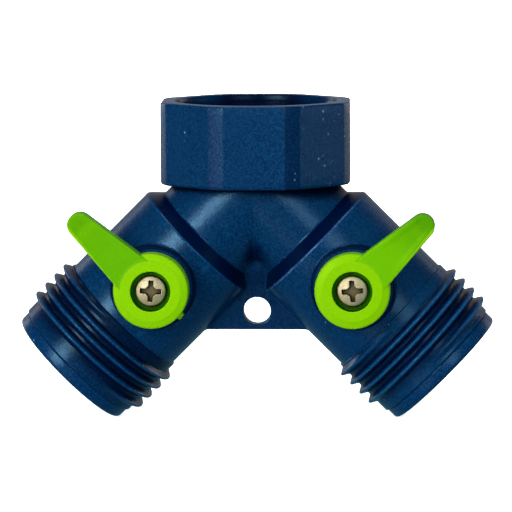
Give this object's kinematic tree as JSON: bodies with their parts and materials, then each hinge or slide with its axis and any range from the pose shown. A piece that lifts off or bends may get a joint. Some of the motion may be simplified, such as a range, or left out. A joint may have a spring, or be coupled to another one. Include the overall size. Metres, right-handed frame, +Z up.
{
  "type": "hose splitter",
  "caption": "Y-shaped hose splitter: swivel inlet nut above, threaded outlets at 45 degrees either side, each with a quarter-turn lever valve.",
  "frame": {"origin": "middle of the flat lower edge of the web between the two outlets, on the inlet axis", "axes": "+Z up along the inlet axis out of the nut, +X towards the right outlet, -Y out of the front where the levers are"},
  "size_m": [0.08, 0.0341, 0.0537],
  "materials": {
    "blue_plastic": "satin moulded navy blue with a fine grain",
    "green_plastic": "smooth moulded lime green",
    "screw_steel": "warm nickel-coloured steel",
    "white_plastic": "smooth moulded",
    "valve_plastic": "smooth hard plastic",
    "seat_plastic": "waxy low-friction plastic",
    "washer_rubber": "matt",
    "seal_rubber": "matt"
  },
  "bodies": {
    "splitter_body": {"manifold_body": "blue_plastic", "inlet_tailpiece": "white_plastic", "tailpiece_oring": "seal_rubber", "inlet_washer": "washer_rubber", "left_inlet_ball_seat": "seat_plastic", "left_outlet_ball_seat": "seat_plastic", "left_retainer_oring": "seal_rubber", "left_outlet_retainer": "blue_plastic", "right_inlet_ball_seat": "seat_plastic", "right_outlet_ball_seat": "seat_plastic", "right_retainer_oring": "seal_rubber", "right_outlet_retainer": "blue_plastic"},
    "inlet_nut": {"swivel_nut": "blue_plastic"},
    "left_valve": {"left_lever": "green_plastic", "left_lever_screw": "screw_steel", "left_valve_stem": "valve_plastic", "left_stem_oring": "seal_rubber", "left_valve_ball": "valve_plastic"},
    "right_valve": {"right_lever": "green_plastic", "right_lever_screw": "screw_steel", "right_valve_stem": "valve_plastic", "right_stem_oring": "seal_rubber", "right_valve_ball": "valve_plastic"}
  },
  "joints": [
    {"name": "nut_swivel", "type": "hinge", "parent": "splitter_body", "child": "inlet_nut", "pos_m": [0, 0, 0.032], "axis": [0, 0, 1], "continuous": true},
    {"name": "left_lever_turn", "type": "hinge", "parent": "splitter_body", "child": "left_valve", "pos_m": [-0.01679, 0, 0.00841], "axis": [0, 1, 0], "range_deg": [0, 90]},
    {"name": "right_lever_turn", "type": "hinge", "parent": "splitter_body", "child": "right_valve", "pos_m": [0.01679, 0, 0.00841], "axis": [0, -1, 0], "range_deg": [0, 90]}
  ]
}
